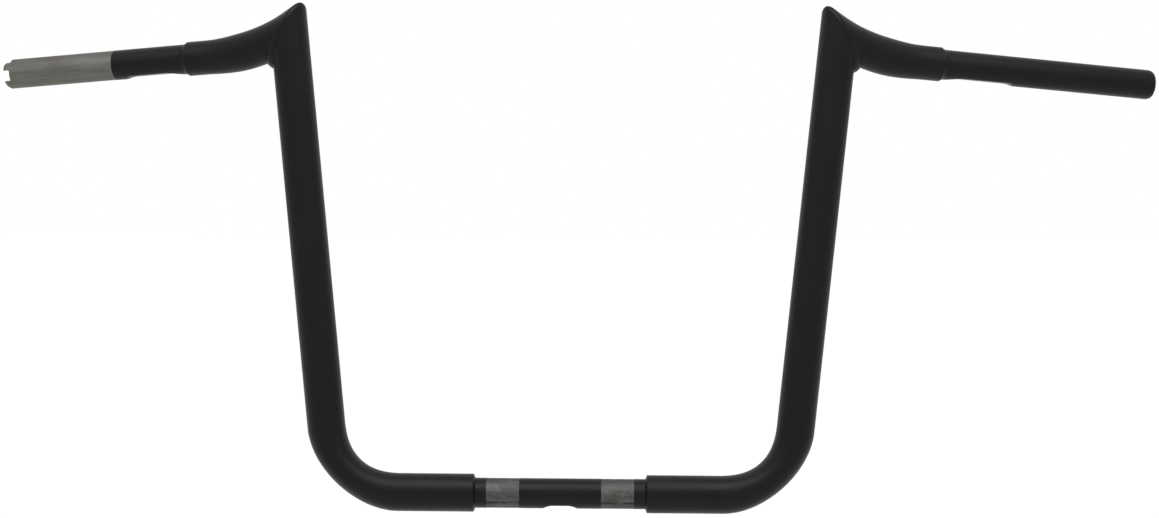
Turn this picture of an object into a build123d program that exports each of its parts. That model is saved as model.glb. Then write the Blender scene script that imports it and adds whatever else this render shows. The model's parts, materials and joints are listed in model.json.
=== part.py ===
# Ape hanger handlebar: seven steel tubes welded into one rigid bar, then powder coated.
# Millimetres, +Z up. The origin is the middle of the clamp tube, +X is the rider's left,
# +Y is the rear, and the two risers stand in the XZ plane.
import os
from math import cos, pi, radians, sin, tan

from build123d import *

# Tube stock, in bare steel, and the powder coat on its outside
clamp_od = 25.4
clamp_wall = 3.05
grip_od = 25.4
grip_wall = 3.05
riser_wall = 3.15
mouth_wall = 2.6  # the horns are drawn down to this at the grip tube
slip = 0.25  # radial room where one tube plugs into another
coat = 0.15

# Clamp tube: two bare bands for the riser clamps, and a wiring hole in its underside
shoulder_x = 73.75
clamp_plug = 30.0  # length of clamp tube inside each riser
band_start = 35.0
band_width = 28.0
wire_hole_length = 30.5
wire_hole_width = 17.0

# Risers: level at the shoulder, bent once, leaning outwards to a pointed mitre
foot_x = 195.1  # where the two straight axes of a riser would cross
riser_lean = 5.6
riser_bend = 63.5
bend_flat = 3.8  # thickness lost at the middle of the bend
riser_end_round = 0.8
mitre_height = 392.5
tip_round = 2.6  # the ridge of the mitre is ground to this radius at its point
flank_round = 7.0  # and to this where it runs out on the sides of the tubes
grind_clear = 1.0  # the cut that grinds it stands this far above it
grind_nick = 0.05  # and stays this short of tangent to the tubes

# Horns: from the mitre back, out and down, bent level and tapered to the grip tube
horn_back = 30.5
horn_drop = 28.6
horn_bend = 160.0
bend_lead = -6.0  # the bend starts this far along the horn from the mitre
horn_straight = 21.1
mouth_length = 13.6
taper_length = 40.0

# Grip tubes
grip_back = 12.0
grip_drop = 4.5
grip_plug = 20.0  # length of the spigot inside each horn
spigot_step = 1.0  # turned off the tube's radius for the spigot
clutch_length = 195.0
throttle_length = 168.8
relief_start = 6.0  # flat under each grip that clears the switch wiring
relief_run = 14.0
relief_depth = 2.05
throttle_relief_end = 58.8
clutch_relief_end = 67.9
relief_step = 7.0
clutch_end_depth = 2.6  # rounding of the open end
clutch_end_length = 5.5
bare_start = 67.6  # the throttle sleeve turns on bare steel from here out
throttle_chamfer = 1.5
throttle_chamfer_length = 2.5
notch_depth = 6.0  # keyways for the throttle sensor
front_notch_width = 9.4
top_notch_width = 13.5
notch_turn = 10.0  # the front keyway looks this far below level
notch_round = 1.2

# Weld beads
bead_inset = 0.2  # a ring bead stays this far below the tube end it is laid against
shoulder_bead_length = 1.2
collar_bead_length = 5.0
corner_bead_height = 6.0  # half sizes of the bead in the inner corner of the mitre
corner_bead_width = 9.0
corner_bead_sink = 0.6
fade_height = 1.0  # half sizes it fades to halfway round the tubes
fade_width = 3.0
fade_sink = 0.3

clamp_radius = clamp_od / 2
clamp_bore_radius = clamp_radius - clamp_wall
clamp_coated = clamp_radius + coat
grip_radius = grip_od / 2
grip_bore_radius = grip_radius - grip_wall
grip_coated = grip_radius + coat
riser_bore_radius = clamp_radius + slip
riser_coated = riser_bore_radius + riser_wall + coat
spigot_radius = grip_radius - spigot_step
horn_bore_radius = spigot_radius + slip
mouth_coated = horn_bore_radius + mouth_wall + coat
overrun = 4 * riser_coated  # blanks run this far past the mitre before they are cut
section_shares = (0, 0.25, 0.5, 0.75, 1)  # where sections stand along a bend or a taper
ridge_turns = range(-80, 81, 10)  # degrees round the seam from the point, where sections of its cut stand


def heading(back, drop):
    """Direction that points outwards on the rider's left, turned back and down by degrees."""
    level = cos(radians(drop))
    return Vector(cos(radians(back)) * level, sin(radians(back)) * level, -sin(radians(drop)))


# Axes of the left half of the bar
riser_dir = Vector(sin(radians(riser_lean)), 0, cos(radians(riser_lean)))
horn_dir = heading(horn_back, horn_drop)
grip_dir = heading(grip_back, grip_drop)
riser_start = Vector(shoulder_x, 0, 0)
riser_corner = Vector(foot_x, 0, 0)
mitre_point = riser_corner + riser_dir * (mitre_height / cos(radians(riser_lean)))
horn_tangent = horn_bend * tan(radians(horn_dir.get_angle(grip_dir) / 2))
horn_start = mitre_point - horn_dir * overrun
horn_corner = mitre_point + horn_dir * (horn_tangent + bend_lead)
collar_point = horn_corner + grip_dir * (horn_tangent + horn_straight)
grip_under = (Vector(0, 0, -1) + grip_dir * grip_dir.Z).normalized()
grip_front = grip_under.cross(grip_dir)
grip_axis = Axis(collar_point, grip_dir)
grip_plane = Plane(origin=collar_point, x_dir=grip_dir, z_dir=grip_dir.cross(grip_under))

# The mitre: both tubes end on one plane, and its longest line runs from point to inner corner
mitre_plane = Plane(origin=mitre_point, z_dir=riser_dir + horn_dir)
seam_dir = (riser_dir - horn_dir).normalized()
side_dir = riser_dir.cross(horn_dir).normalized()
half_corner = radians((180 - riser_dir.get_angle(horn_dir)) / 2)
seam_half = riser_coated / sin(half_corner)


def riser_run(radius):
    """Solid along a riser from the shoulder to the mitre, a little flattened round its bend."""
    with BuildPart() as run:
        with BuildLine() as route:
            FilletPolyline(riser_start, riser_corner, mitre_point + riser_dir * overrun, radius=riser_bend)
        foot, bend, upright = route.wire().order_edges()
        for straight in (foot, upright):
            with BuildSketch(Plane(origin=straight @ 0, z_dir=straight % 0)):
                Circle(radius)
            sweep(path=straight)
        for share in section_shares:
            squash = bend_flat / 2 * sin(pi * share) ** 2
            with BuildSketch(Plane(origin=bend @ share, x_dir=(0, 1, 0), z_dir=bend % share)):
                Ellipse(radius + squash, radius - squash)
        sweep(path=bend, multisection=True)
        split(bisect_by=mitre_plane, keep=Keep.BOTTOM)
    return run.part


def horn_route():
    """Axis of a horn, from behind the mitre round its bend to the mouth."""
    with BuildLine() as route:
        FilletPolyline(horn_start, horn_corner, collar_point, radius=horn_bend)
    return route.wire()


def horn_outside():
    """Solid along a horn from the mitre, drawn down smoothly to its mouth."""
    axis = horn_route()
    taper_start = 1 - (mouth_length + taper_length) / axis.length
    taper_end = 1 - mouth_length / axis.length
    with BuildPart() as run:
        plain_tube = axis.trim(0, taper_start)
        mouth = axis.trim(taper_end, 1)
        for stretch, radius in ((plain_tube, riser_coated), (mouth, mouth_coated)):
            with BuildSketch(Plane(origin=stretch @ 0, z_dir=stretch % 0)):
                Circle(radius)
            sweep(path=stretch)
        taper = axis.trim(taper_start, taper_end)
        for share in section_shares:
            drawn = share * share * (3 - 2 * share)
            with BuildSketch(Plane(origin=taper @ share, x_dir=side_dir, z_dir=taper % share)):
                Circle(riser_coated + (mouth_coated - riser_coated) * drawn)
        sweep(path=taper, multisection=True)
        split(bisect_by=mitre_plane, keep=Keep.TOP)
    return run.part


def horn_bore():
    """Solid along the bore of a horn."""
    with BuildPart() as run:
        with BuildSketch(Plane(origin=horn_start, z_dir=horn_dir)):
            Circle(horn_bore_radius)
        sweep(path=horn_route())
    return run.part


def relief_waste(relief_end):
    """What comes off the underside of a grip tube to leave its wiring flat."""
    floor = grip_coated - relief_depth
    outside = grip_coated + relief_depth
    ramp_foot = (relief_end - relief_step, floor)
    ramp_top = (relief_end, grip_coated)
    with BuildPart() as waste:
        with BuildSketch(grip_plane):
            with BuildLine():
                Polyline(ramp_top, (relief_end, outside), (relief_start, outside),
                         (relief_start, grip_coated), (relief_start + relief_run, floor), ramp_foot)
                TangentArc(ramp_foot, ramp_top, tangent=(1, 0))
            make_face()
        extrude(amount=grip_od, both=True)
    return waste.part


def keyway_waste(facing, width):
    """What comes off the throttle end to leave a keyway in the wall that faces one way."""
    end_point = collar_point + grip_dir * throttle_length
    with BuildPart() as waste:
        with BuildSketch(Plane(origin=end_point, x_dir=grip_dir, z_dir=facing)):
            RectangleRounded(2 * notch_depth, width, notch_round)
        extrude(amount=grip_od)
    return waste.part


def ridge_waste():
    """What grinding takes off the ridge of the mitre, from side to side over its point."""
    across = mitre_plane.z_dir
    with BuildPart() as waste:
        for turn in ridge_turns:
            ahead = cos(radians(turn))
            aside = sin(radians(turn))
            ridge_point = mitre_point + seam_dir * (seam_half * ahead) + side_dir * (riser_coated * aside)
            outward = seam_dir * (ahead * sin(half_corner)) + side_dir * aside
            wedge_sin = outward.length  # of half the angle between the tubes' sides here
            wedge_cos = ahead * cos(half_corner)
            ball = tip_round + (flank_round - tip_round) * aside ** 2
            centre = grind_nick - ball / wedge_sin
            edge_x = ball * wedge_cos
            edge_y = centre + ball * wedge_sin
            # Square to the seam, where the arc of a ball nearly touches both tubes
            with BuildSketch(Plane(origin=ridge_point, x_dir=across, z_dir=across.cross(outward))):
                with BuildLine():
                    ThreePointArc((edge_x, edge_y), (0, centre + ball), (-edge_x, edge_y))
                    Polyline((-edge_x, edge_y), (-edge_x, grind_clear), (edge_x, grind_clear),
                             (edge_x, edge_y))
                make_face()
        loft()
    return waste.part


with BuildPart() as clamp_tube:
    with BuildSketch(Plane.XZ):
        with BuildLine():
            band_end = band_start + band_width
            shoulder_toe = shoulder_x - shoulder_bead_length
            Polyline(
                (0, clamp_bore_radius),
                (0, clamp_coated),
                (band_start, clamp_coated),
                (band_start, clamp_radius),
                (band_end, clamp_radius),
                (band_end, clamp_coated),
                (shoulder_toe, clamp_coated),
                (shoulder_toe, clamp_radius),
                (shoulder_x + clamp_plug, clamp_radius),
                (shoulder_x + clamp_plug, clamp_bore_radius),
                close=True,
            )
        make_face()
    revolve(axis=Axis.X)
    mirror(about=Plane.YZ)
    with BuildSketch(Plane.XY):
        SlotOverall(wire_hole_length, wire_hole_width)
    extrude(amount=-clamp_od, mode=Mode.SUBTRACT)

with BuildPart() as left_riser:
    add(riser_run(riser_coated))
    add(ridge_waste(), mode=Mode.SUBTRACT)
    add(riser_run(riser_bore_radius), mode=Mode.SUBTRACT)
    fillet(left_riser.edges().filter_by(GeomType.CIRCLE).group_by(Axis.X)[0].sort_by(SortBy.RADIUS)[-1],
           riser_end_round)

with BuildPart() as left_horn:
    add(horn_outside())
    add(ridge_waste(), mode=Mode.SUBTRACT)
    add(horn_bore(), mode=Mode.SUBTRACT)

# The bead in the inner corner follows the seam round both sides and fades into the tubes
with BuildPart() as left_mitre_weld:
    bead_along = seam_half - corner_bead_sink
    bead_across = riser_coated - fade_height - fade_sink
    with BuildLine(Plane(origin=mitre_point, x_dir=seam_dir, z_dir=mitre_plane.z_dir)) as bead_line:
        EllipticalCenterArc((0, 0), bead_along, bead_across, start_angle=90, arc_size=180)
    bead_path = bead_line.wire()
    fade = (fade_width, fade_height)
    for share, (width, height) in ((0, fade), (0.5, (corner_bead_width, corner_bead_height)), (1, fade)):
        with BuildSketch(Plane(origin=bead_path @ share, x_dir=mitre_plane.z_dir, z_dir=bead_path % share)):
            Ellipse(width, height)
    sweep(path=bead_path, multisection=True)
    add(riser_run(riser_coated), mode=Mode.SUBTRACT)
    add(horn_outside(), mode=Mode.SUBTRACT)

with BuildPart() as left_shoulder_weld:
    with BuildSketch(Plane.XZ):
        with BuildLine():
            Polyline(
                (shoulder_x, clamp_radius),
                (shoulder_x, riser_coated - riser_end_round - bead_inset),
                (shoulder_toe, clamp_coated),
                (shoulder_toe, clamp_radius),
                close=True,
            )
        make_face()
    revolve(axis=Axis.X)

with BuildPart() as left_collar_weld:
    with BuildSketch(grip_plane):
        with BuildLine():
            bead_toe = (collar_bead_length, grip_coated)
            bead_top = (0, mouth_coated - bead_inset)
            Polyline(bead_toe, (0, spigot_radius), bead_top)
            TangentArc(bead_toe, bead_top, tangent=(-1, 0))
        make_face()
    revolve(axis=grip_axis)

with BuildPart() as left_grip_tube:
    with BuildSketch(grip_plane):
        with BuildLine():
            round_start = clutch_length - clutch_end_length
            round_end = grip_coated - clutch_end_depth
            Polyline(
                (clutch_length, round_end),
                (clutch_length, grip_bore_radius),
                (-grip_plug, grip_bore_radius),
                (-grip_plug, spigot_radius),
                (0, spigot_radius),
                (collar_bead_length, grip_coated),
                (round_start, grip_coated),
            )
            EllipticalCenterArc((round_start, round_end), clutch_end_length, clutch_end_depth, arc_size=90)
        make_face()
    revolve(axis=grip_axis)
    add(relief_waste(clutch_relief_end), mode=Mode.SUBTRACT)

# The throttle tube is made on the left and mirrored with the rest of the right half
with BuildPart() as throttle_blank:
    with BuildSketch(grip_plane):
        with BuildLine():
            Polyline(
                (-grip_plug, grip_bore_radius),
                (-grip_plug, spigot_radius),
                (0, spigot_radius),
                (collar_bead_length, grip_coated),
                (bare_start, grip_coated),
                (bare_start, grip_radius),
                (throttle_length - throttle_chamfer_length, grip_radius),
                (throttle_length, grip_radius - throttle_chamfer),
                (throttle_length, grip_bore_radius),
                close=True,
            )
        make_face()
    revolve(axis=grip_axis)
    add(relief_waste(throttle_relief_end), mode=Mode.SUBTRACT)
    turn = radians(notch_turn)
    front_facing = grip_front * cos(turn) + grip_under * sin(turn)
    top_facing = grip_front * sin(turn) - grip_under * cos(turn)
    add(keyway_waste(front_facing, front_notch_width), mode=Mode.SUBTRACT)
    add(keyway_waste(top_facing, top_notch_width), mode=Mode.SUBTRACT)

pieces = {"clamp_tube": clamp_tube.part, "left_grip_tube": left_grip_tube.part}
left_half = {
    "riser": left_riser.part,
    "horn": left_horn.part,
    "mitre_weld": left_mitre_weld.part,
    "shoulder_weld": left_shoulder_weld.part,
    "collar_weld": left_collar_weld.part,
}
for name, left_part in left_half.items():
    with BuildPart() as right_piece:
        mirror(left_part, about=Plane.YZ)
    pieces[f"left_{name}"] = left_part
    pieces[f"right_{name}"] = right_piece.part
with BuildPart() as throttle_grip_tube:
    mirror(throttle_blank.part, about=Plane.YZ)
pieces["throttle_grip_tube"] = throttle_grip_tube.part

os.makedirs("parts", exist_ok=True)
for name, part in pieces.items():
    part.label = name
    export_step(part, f"parts/{name}.step")
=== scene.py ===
import json
import math

import bpy
from mathutils import Matrix, Vector

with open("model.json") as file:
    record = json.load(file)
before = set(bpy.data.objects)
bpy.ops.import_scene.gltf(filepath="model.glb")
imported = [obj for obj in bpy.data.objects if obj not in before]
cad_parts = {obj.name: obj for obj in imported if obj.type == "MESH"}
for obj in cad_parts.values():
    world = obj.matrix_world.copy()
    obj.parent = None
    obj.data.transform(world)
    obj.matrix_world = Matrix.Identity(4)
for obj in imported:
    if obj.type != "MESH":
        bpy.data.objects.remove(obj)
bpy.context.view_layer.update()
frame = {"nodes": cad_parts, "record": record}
nodes = frame["nodes"]
mounts = {mount["name"]: mount for mount in frame["record"]["mounts"]}
scene = bpy.context.scene
mmPerMetre = 1000
print("frame loaded:", len(nodes), "nodes")


def linearColour(hexCode):
    shares = [int(hexCode[i:i + 2], 16) / 255 for i in (1, 3, 5)]
    return [s / 12.92 if s <= 0.04045 else ((s + 0.055) / 1.055) ** 2.4 for s in shares] + [1.0]


def addNode(tree, kind, settings=None, values=None, links=None):
    node = tree.nodes.new(kind)
    for name, setting in (settings or {}).items():
        setattr(node, name, setting)
    for socket, value in (values or {}).items():
        node.inputs[socket].default_value = value
    for socket, source in (links or {}).items():
        tree.links.new(source, node.inputs[socket])
    return node


def newMaterial(name):
    material = bpy.data.materials.new(name)
    material.use_nodes = True
    material.node_tree.nodes.clear()
    return material


# Polyester powder coat, sprayed on and baked: an even black skin with a fine orange peel, which
# spreads each light into a soft band and leaves no sharp reflection
powderCoat = {
    "colour": "#080809",
    "dustColour": "#0d0d0d",      # a trace of dust and handling
    "roughness": (0.36, 0.44),
    "roughRange": (0.35, 0.65),   # cloud levels between which the roughness goes from low to high
    "specularLevel": 0.13,        # the satin texture takes up most of the gloss
    "peelWidthMm": 3.0,           # a real peel is nearer 2 mm, drawn coarser to show in the render
    "peelDepthMm": 0.012,
    "peelNoise": {"Detail": 2.0, "Roughness": 0.4},
    "cloudWidthMm": 55,
    "cloudNoise": {"Detail": 4.0, "Roughness": 0.6},
}


def coatLayer(tree, place):
    peel = addNode(tree, "ShaderNodeTexNoise",
                   values={"Scale": mmPerMetre / powderCoat["peelWidthMm"], **powderCoat["peelNoise"]},
                   links={"Vector": place})
    cloud = addNode(tree, "ShaderNodeTexNoise",
                    values={"Scale": mmPerMetre / powderCoat["cloudWidthMm"], **powderCoat["cloudNoise"]},
                    links={"Vector": place})
    colour = addNode(tree, "ShaderNodeMix", {"data_type": "RGBA"},
                     {"A": linearColour(powderCoat["colour"]), "B": linearColour(powderCoat["dustColour"])},
                     {"Factor": cloud.outputs["Fac"]})
    cloudLow, cloudHigh = powderCoat["roughRange"]
    roughLow, roughHigh = powderCoat["roughness"]
    rough = addNode(tree, "ShaderNodeMapRange",
                    values={"From Min": cloudLow, "From Max": cloudHigh,
                            "To Min": roughLow, "To Max": roughHigh},
                    links={"Value": cloud.outputs["Fac"]})
    height = addNode(tree, "ShaderNodeMath", {"operation": "MULTIPLY"},
                     {1: powderCoat["peelDepthMm"] / mmPerMetre}, {0: peel.outputs["Fac"]})
    return colour.outputs["Result"], rough.outputs["Result"], height.outputs["Value"]


# Cold-drawn mild steel, left bare: grey rather than bright, with lines along the draw, faint clouds
# drawn out the same way and a little brown where it has begun to tarnish
drawnSteel = {
    "colour": "#64645f",
    "brightColour": "#71716b",
    "darkColour": "#545450",
    "tarnishColour": "#5c554d",
    "roughness": (0.54, 0.66),
    "lineWidthMm": 1.1,           # real draw lines are finer, drawn this coarse to show
    "lineLengthMm": 60,
    "lineDepthMm": 0.004,
    "cloudWidthMm": 6,
    "cloudLengthMm": 22,
    "stainWidthMm": 24,
    "paintedDarkReflection": None,
}

# The same tube dulled by hand with abrasive before the bands were masked: darker, with short marks and pale
# rubs,
#  and one painted dark reflection: a dark line painted along the tube at one height
linishedSteel = {
    "colour": "#4d4d4b",
    "brightColour": "#6d6d6a",
    "darkColour": "#3f3f3d",
    "tarnishColour": "#4a4743",
    "roughness": (0.58, 0.7),
    "lineWidthMm": 1.1,           # drawn coarse, as above
    "lineLengthMm": 14,
    "lineDepthMm": 0.003,
    "cloudWidthMm": 8,
    "cloudLengthMm": 14,
    "stainWidthMm": 18,
    # painted dark reflection: a dark line painted at one height along the tube
    "paintedDarkReflection": {"heightMm": -6.9, "halfWidthMm": 1.8, "colour": "#30302e",
              "breakMm": 9, "breakDetail": 1.0, "breakRange": (0.3, 0.55)},
}

# Shared by both steels: the noise of each mark, and the noise levels at which it begins and is full
steelMarks = {
    "lineNoise": {"Detail": 3.0, "Roughness": 0.6},
    "lineRange": (0.4, 0.65),
    "cloudNoise": {"Detail": 5.0, "Roughness": 0.65},
    "cloudRange": (0.45, 0.8),
    "stainNoise": {"Detail": 3.0, "Roughness": 0.5},
    "stainRange": (0.52, 0.72),
    "stainMost": 0.6,             # the brown never hides the grey
    "roughRange": (0.35, 0.65),
}


def paintDarkReflection(tree, place, colour, paintedDarkReflection):
    # A painted dark reflection: a dark line painted along the tube at one height, broken here and there
    parts = addNode(tree, "ShaderNodeSeparateXYZ", links={"Vector": place})
    offset = addNode(tree, "ShaderNodeMath", {"operation": "SUBTRACT"},
                     {1: paintedDarkReflection["heightMm"] / mmPerMetre}, {0: parts.outputs["Z"]})
    away = addNode(tree, "ShaderNodeMath", {"operation": "ABSOLUTE"}, links={0: offset.outputs["Value"]})
    mark = addNode(tree, "ShaderNodeMapRange", {"interpolation_type": "SMOOTHSTEP"},
                   {"From Min": 0.0, "From Max": paintedDarkReflection["halfWidthMm"] / mmPerMetre,
                    "To Min": 1.0, "To Max": 0.0},
                   {"Value": away.outputs["Value"]})
    gaps = addNode(tree, "ShaderNodeTexNoise",
                   values={"Scale": mmPerMetre / paintedDarkReflection["breakMm"], "Detail": paintedDarkReflection["breakDetail"]},
                   links={"Vector": place})
    breakLow, breakHigh = paintedDarkReflection["breakRange"]
    here = addNode(tree, "ShaderNodeMapRange", values={"From Min": breakLow, "From Max": breakHigh},
                   links={"Value": gaps.outputs["Fac"]})
    share = addNode(tree, "ShaderNodeMath", {"operation": "MULTIPLY"},
                    links={0: mark.outputs["Result"], 1: here.outputs["Result"]})
    return addNode(tree, "ShaderNodeMix", {"data_type": "RGBA"}, {"B": linearColour(paintedDarkReflection["colour"])},
                   {"Factor": share.outputs["Value"], "A": colour.outputs["Result"]})


def steelLayer(tree, place, along, steel):
    # along is the tube's axis, so that the lines run down the tube
    axis = Vector(along).normalized()
    turn = axis.to_track_quat("X", "Z").to_matrix().transposed().to_euler()
    straight = addNode(tree, "ShaderNodeMapping", values={"Rotation": turn}, links={"Vector": place})
    drawn = addNode(tree, "ShaderNodeMapping",
                    values={"Scale": (steel["lineWidthMm"] / steel["lineLengthMm"], 1, 1)},
                    links={"Vector": straight.outputs["Vector"]})
    lines = addNode(tree, "ShaderNodeTexNoise",
                    values={"Scale": mmPerMetre / steel["lineWidthMm"], **steelMarks["lineNoise"]},
                    links={"Vector": drawn.outputs["Vector"]})
    lineLow, lineHigh = steelMarks["lineRange"]
    lineShade = addNode(tree, "ShaderNodeMapRange", values={"From Min": lineLow, "From Max": lineHigh},
                        links={"Value": lines.outputs["Fac"]})
    lined = addNode(tree, "ShaderNodeMix", {"data_type": "RGBA"},
                    {"A": linearColour(steel["colour"]), "B": linearColour(steel["darkColour"])},
                    {"Factor": lineShade.outputs["Result"]})
    pulled = addNode(tree, "ShaderNodeMapping",
                     values={"Scale": (steel["cloudWidthMm"] / steel["cloudLengthMm"], 1, 1)},
                     links={"Vector": straight.outputs["Vector"]})
    clouds = addNode(tree, "ShaderNodeTexNoise",
                     values={"Scale": mmPerMetre / steel["cloudWidthMm"], **steelMarks["cloudNoise"]},
                     links={"Vector": pulled.outputs["Vector"]})
    cloudLow, cloudHigh = steelMarks["cloudRange"]
    cloudShade = addNode(tree, "ShaderNodeMapRange", values={"From Min": cloudLow, "From Max": cloudHigh},
                         links={"Value": clouds.outputs["Fac"]})
    clouded = addNode(tree, "ShaderNodeMix", {"data_type": "RGBA"},
                      {"B": linearColour(steel["brightColour"])},
                      {"Factor": cloudShade.outputs["Result"], "A": lined.outputs["Result"]})
    stains = addNode(tree, "ShaderNodeTexNoise",
                     values={"Scale": mmPerMetre / steel["stainWidthMm"], **steelMarks["stainNoise"]},
                     links={"Vector": place})
    stainLow, stainHigh = steelMarks["stainRange"]
    stainShade = addNode(tree, "ShaderNodeMapRange",
                         values={"From Min": stainLow, "From Max": stainHigh,
                                 "To Max": steelMarks["stainMost"]},
                         links={"Value": stains.outputs["Fac"]})
    colour = addNode(tree, "ShaderNodeMix", {"data_type": "RGBA"},
                     {"B": linearColour(steel["tarnishColour"])},
                     {"Factor": stainShade.outputs["Result"], "A": clouded.outputs["Result"]})
    # paints a dark reflection line along the tube where the steel has one
    if steel["paintedDarkReflection"]:
        colour = paintDarkReflection(tree, place, colour, steel["paintedDarkReflection"])
    smoothLow, smoothHigh = steelMarks["roughRange"]
    roughLow, roughHigh = steel["roughness"]
    rough = addNode(tree, "ShaderNodeMapRange",
                    values={"From Min": smoothLow, "From Max": smoothHigh,
                            "To Min": roughLow, "To Max": roughHigh},
                    links={"Value": clouds.outputs["Fac"]})
    height = addNode(tree, "ShaderNodeMath", {"operation": "MULTIPLY"},
                     {1: steel["lineDepthMm"] / mmPerMetre}, {0: lines.outputs["Fac"]})
    return colour.outputs["Result"], rough.outputs["Result"], height.outputs["Value"]


def satinBlackCoat():
    material = newMaterial("satinBlackPowderCoat")
    tree = material.node_tree
    place = addNode(tree, "ShaderNodeTexCoord").outputs["Object"]
    colour, rough, height = coatLayer(tree, place)
    bump = addNode(tree, "ShaderNodeBump", values={"Strength": 1.0, "Distance": 1.0},
                   links={"Height": height})
    surface = addNode(tree, "ShaderNodeBsdfPrincipled",
                      values={"Specular IOR Level": powderCoat["specularLevel"]},
                      links={"Base Color": colour, "Roughness": rough, "Normal": bump.outputs["Normal"]})
    addNode(tree, "ShaderNodeOutputMaterial", links={"Surface": surface.outputs["BSDF"]})
    return material


def partBareTube(name, along, steel, bareMask):
    # One tube with both finishes: bareMask is 1 on bare steel and 0 under the coat
    material = newMaterial(name)
    tree = material.node_tree
    place = addNode(tree, "ShaderNodeTexCoord").outputs["Object"]
    coatColour, coatRough, coatHeight = coatLayer(tree, place)
    steelColour, steelRough, steelHeight = steelLayer(tree, place, along, steel)
    bare = bareMask(tree, place)
    colour = addNode(tree, "ShaderNodeMix", {"data_type": "RGBA"},
                     links={"Factor": bare, "A": coatColour, "B": steelColour})
    rough = addNode(tree, "ShaderNodeMix", links={"Factor": bare, "A": coatRough, "B": steelRough})
    height = addNode(tree, "ShaderNodeMix", links={"Factor": bare, "A": coatHeight, "B": steelHeight})
    bump = addNode(tree, "ShaderNodeBump", values={"Strength": 1.0, "Distance": 1.0},
                   links={"Height": height.outputs["Result"]})
    surface = addNode(tree, "ShaderNodeBsdfPrincipled",
                      values={"Specular IOR Level": powderCoat["specularLevel"]},
                      links={"Base Color": colour.outputs["Result"], "Roughness": rough.outputs["Result"],
                             "Metallic": bare, "Normal": bump.outputs["Normal"]})
    addNode(tree, "ShaderNodeOutputMaterial", links={"Surface": surface.outputs["BSDF"]})
    return material


# Edge of the coat, masked by hand
maskEdge = {"waverMm": 0.5, "waverWidthMm": 6, "waverDetail": 2.0, "softMm": 0.35}


def waveredEdge(tree, place, distance, edge, sign):
    # Where sign is 1, the mask is 1 past the edge and 0 before it, and -1 turns that round. The edge
    # waves a little round the tube
    noise = addNode(tree, "ShaderNodeTexNoise",
                    values={"Scale": mmPerMetre / maskEdge["waverWidthMm"],
                            "Detail": maskEdge["waverDetail"]},
                    links={"Vector": place})
    waver = addNode(tree, "ShaderNodeMath", {"operation": "MULTIPLY_ADD"},
                    {1: 2 * maskEdge["waverMm"] / mmPerMetre, 2: -maskEdge["waverMm"] / mmPerMetre},
                    {0: noise.outputs["Fac"]})
    moved = addNode(tree, "ShaderNodeMath", {"operation": "ADD"},
                    links={0: distance, 1: waver.outputs["Value"]})
    soft = sign * maskEdge["softMm"] / 2 / mmPerMetre
    mask = addNode(tree, "ShaderNodeMapRange", {"interpolation_type": "SMOOTHSTEP"},
                   {"From Min": edge - soft, "From Max": edge + soft}, {"Value": moved.outputs["Value"]})
    return mask.outputs["Result"]


def clampBands(tree, place):
    clamps = mounts["riser_clamps"]["dims"]
    half = clamps["length_mm"] / 2 / mmPerMetre
    parts = addNode(tree, "ShaderNodeSeparateXYZ", links={"Vector": place})
    side = addNode(tree, "ShaderNodeMath", {"operation": "ABSOLUTE"}, links={0: parts.outputs["X"]})
    offset = addNode(tree, "ShaderNodeMath", {"operation": "SUBTRACT"},
                     {1: clamps["spacing_x_mm"] / 2 / mmPerMetre}, {0: side.outputs["Value"]})
    away = addNode(tree, "ShaderNodeMath", {"operation": "ABSOLUTE"}, links={0: offset.outputs["Value"]})
    return waveredEdge(tree, place, away.outputs["Value"], half, -1)


throttleEnd = {"bareLengthMm": 98.7}


def throttleStretch(tree, place):
    pin = mounts["throttle_grip"]
    axis = Vector(pin["axis"]).normalized()
    end = Vector(pin["pos_m"]) + axis * pin["dims"]["length_mm"] / 2 / mmPerMetre
    start = end.dot(axis) - throttleEnd["bareLengthMm"] / mmPerMetre
    along = addNode(tree, "ShaderNodeVectorMath", {"operation": "DOT_PRODUCT"}, {1: axis}, {0: place})
    return waveredEdge(tree, place, along.outputs["Value"], start, 1)


coat = satinBlackCoat()
finishes = {
    "clamp_tube": partBareTube("powderCoatOverLinishedClampTube", (1, 0, 0), linishedSteel, clampBands),
    "throttle_grip_tube": partBareTube("powderCoatOverDrawnThrottleTube", mounts["throttle_grip"]["axis"],
                                       drawnSteel, throttleStretch),
}
for name, node in nodes.items():
    node.data.materials.clear()
    node.data.materials.append(finishes.get(name, coat))
print("finishes on:", ", ".join(sorted(nodes)))

# Paper floor, well below the bar so that its shadow falls clear of the picture. The glow brings the
# paper up to white where it is seen or mirrored, and adds no other light
studioFloor = {"height": -0.62, "reach": 30.0, "colour": "#e6e6e4", "whiteGlow": 0.22}
floorMesh = bpy.data.meshes.new("studioFloor")
reach, height = studioFloor["reach"], studioFloor["height"]
corners = [(-reach, -reach, height), (reach, -reach, height),
           (reach, reach, height), (-reach, reach, height)]
floorMesh.from_pydata(corners, [], [(0, 1, 2, 3)])
floor = bpy.data.objects.new("studioFloor", floorMesh)
scene.collection.objects.link(floor)
matt = newMaterial("mattWhitePaper")
tree = matt.node_tree
paper = addNode(tree, "ShaderNodeBsdfDiffuse", values={"Color": linearColour(studioFloor["colour"])})
rays = addNode(tree, "ShaderNodeLightPath")
glossyToo = addNode(tree, "ShaderNodeMath", {"operation": "MAXIMUM"},
                    links={0: rays.outputs["Is Camera Ray"], 1: rays.outputs["Is Glossy Ray"]})
seen = addNode(tree, "ShaderNodeMath", {"operation": "MAXIMUM"},
               links={0: glossyToo.outputs["Value"], 1: rays.outputs["Is Transmission Ray"]})
strength = addNode(tree, "ShaderNodeMath", {"operation": "MULTIPLY"}, {1: studioFloor["whiteGlow"]},
                   {0: seen.outputs["Value"]})
glow = addNode(tree, "ShaderNodeEmission", links={"Strength": strength.outputs["Value"]})
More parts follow.
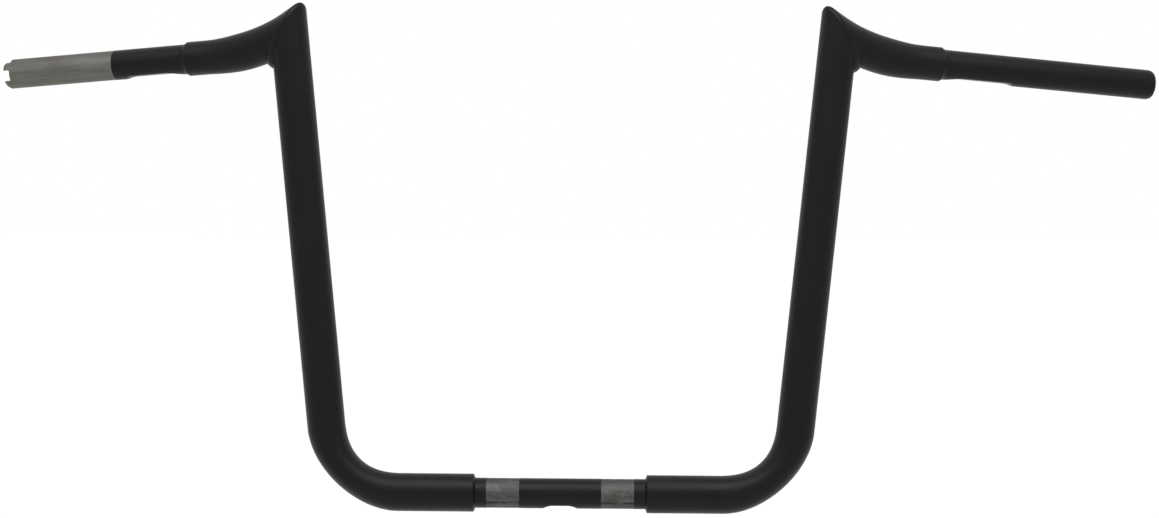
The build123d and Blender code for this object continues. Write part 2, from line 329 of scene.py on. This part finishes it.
both = addNode(tree, "ShaderNodeAddShader", links={0: paper.outputs["BSDF"], 1: glow.outputs["Emission"]})
addNode(tree, "ShaderNodeOutputMaterial", links={"Surface": both.outputs["Shader"]})
floorMesh.materials.append(matt)
print("floor laid at", height)

# White all round, for the camera, for reflections and as light on the bar
studioRoom = {"colour": "#ffffff", "strength": 1.0}
world = bpy.data.worlds.new("studioRoom")
world.use_nodes = True
scene.world = world
tree = world.node_tree
tree.nodes.clear()
sky = addNode(tree, "ShaderNodeBackground",
              values={"Color": linearColour(studioRoom["colour"]), "Strength": studioRoom["strength"]})
addNode(tree, "ShaderNodeOutputWorld", links={"Surface": sky.outputs["Background"]})

# One softbox above and in front, a touch cool
topSoftbox = {"place": (0.0, -0.7, 1.25), "aim": (0, 0, 0.05), "size": (1.8, 1.0), "watts": 24.0,
              "colour": "#f6f8ff"}
lampData = bpy.data.lights.new("topSoftbox", "AREA")
lampData.shape = "RECTANGLE"
lampData.size, lampData.size_y = topSoftbox["size"]
lampData.energy = topSoftbox["watts"]
lampData.color = linearColour(topSoftbox["colour"])[:3]
lamp = bpy.data.objects.new("topSoftbox", lampData)
lamp.location = topSoftbox["place"]
lamp.rotation_mode = "QUATERNION"
lampWay = Vector(topSoftbox["aim"]) - Vector(topSoftbox["place"])
lamp.rotation_quaternion = lampWay.to_track_quat("-Z", "Y")
lamp.visible_camera = False
scene.collection.objects.link(lamp)
print("studio lit by the white room and", lamp.name)

# Camera fitted to the picture: its turn, tip and roll in degrees, and how far to its right, below it
# and ahead of it the bar's origin lies, in metres
photoCamera = {
    "turn": 0.62,
    "tip": 2.1,
    "roll": 0.43,
    "right": -0.01644,
    "down": 0.20065,
    "ahead": 2.20056,
    "focalPixels": 2570.81,
    "framePixels": 1159,
    "sensorMm": 36,
}
fromFront = Matrix(((1, 0, 0), (0, 0, -1), (0, 1, 0)))   # right, down and ahead, seen from the front
sight = (Matrix.Rotation(math.radians(photoCamera["roll"]), 3, "Z")
         @ Matrix.Rotation(math.radians(photoCamera["tip"]), 3, "X")
         @ Matrix.Rotation(math.radians(photoCamera["turn"]), 3, "Y") @ fromFront)
stand = -(sight.transposed() @ Vector((photoCamera["right"], photoCamera["down"], photoCamera["ahead"])))
flip = Matrix(((1, 0, 0), (0, -1, 0), (0, 0, -1)))   # the camera looks along its own -Z, with +Y up
cameraData = bpy.data.cameras.new("photoCamera")
cameraData.sensor_fit = "HORIZONTAL"
cameraData.sensor_width = photoCamera["sensorMm"]
cameraData.lens = photoCamera["focalPixels"] / photoCamera["framePixels"] * photoCamera["sensorMm"]
camera = bpy.data.objects.new("photoCamera", cameraData)
camera.matrix_world = Matrix.Translation(stand) @ (sight.transposed() @ flip).to_4x4()
scene.collection.objects.link(camera)
scene.camera = camera
scene.view_settings.view_transform = "Standard"
print("camera stands at", [round(c, 3) for c in stand])
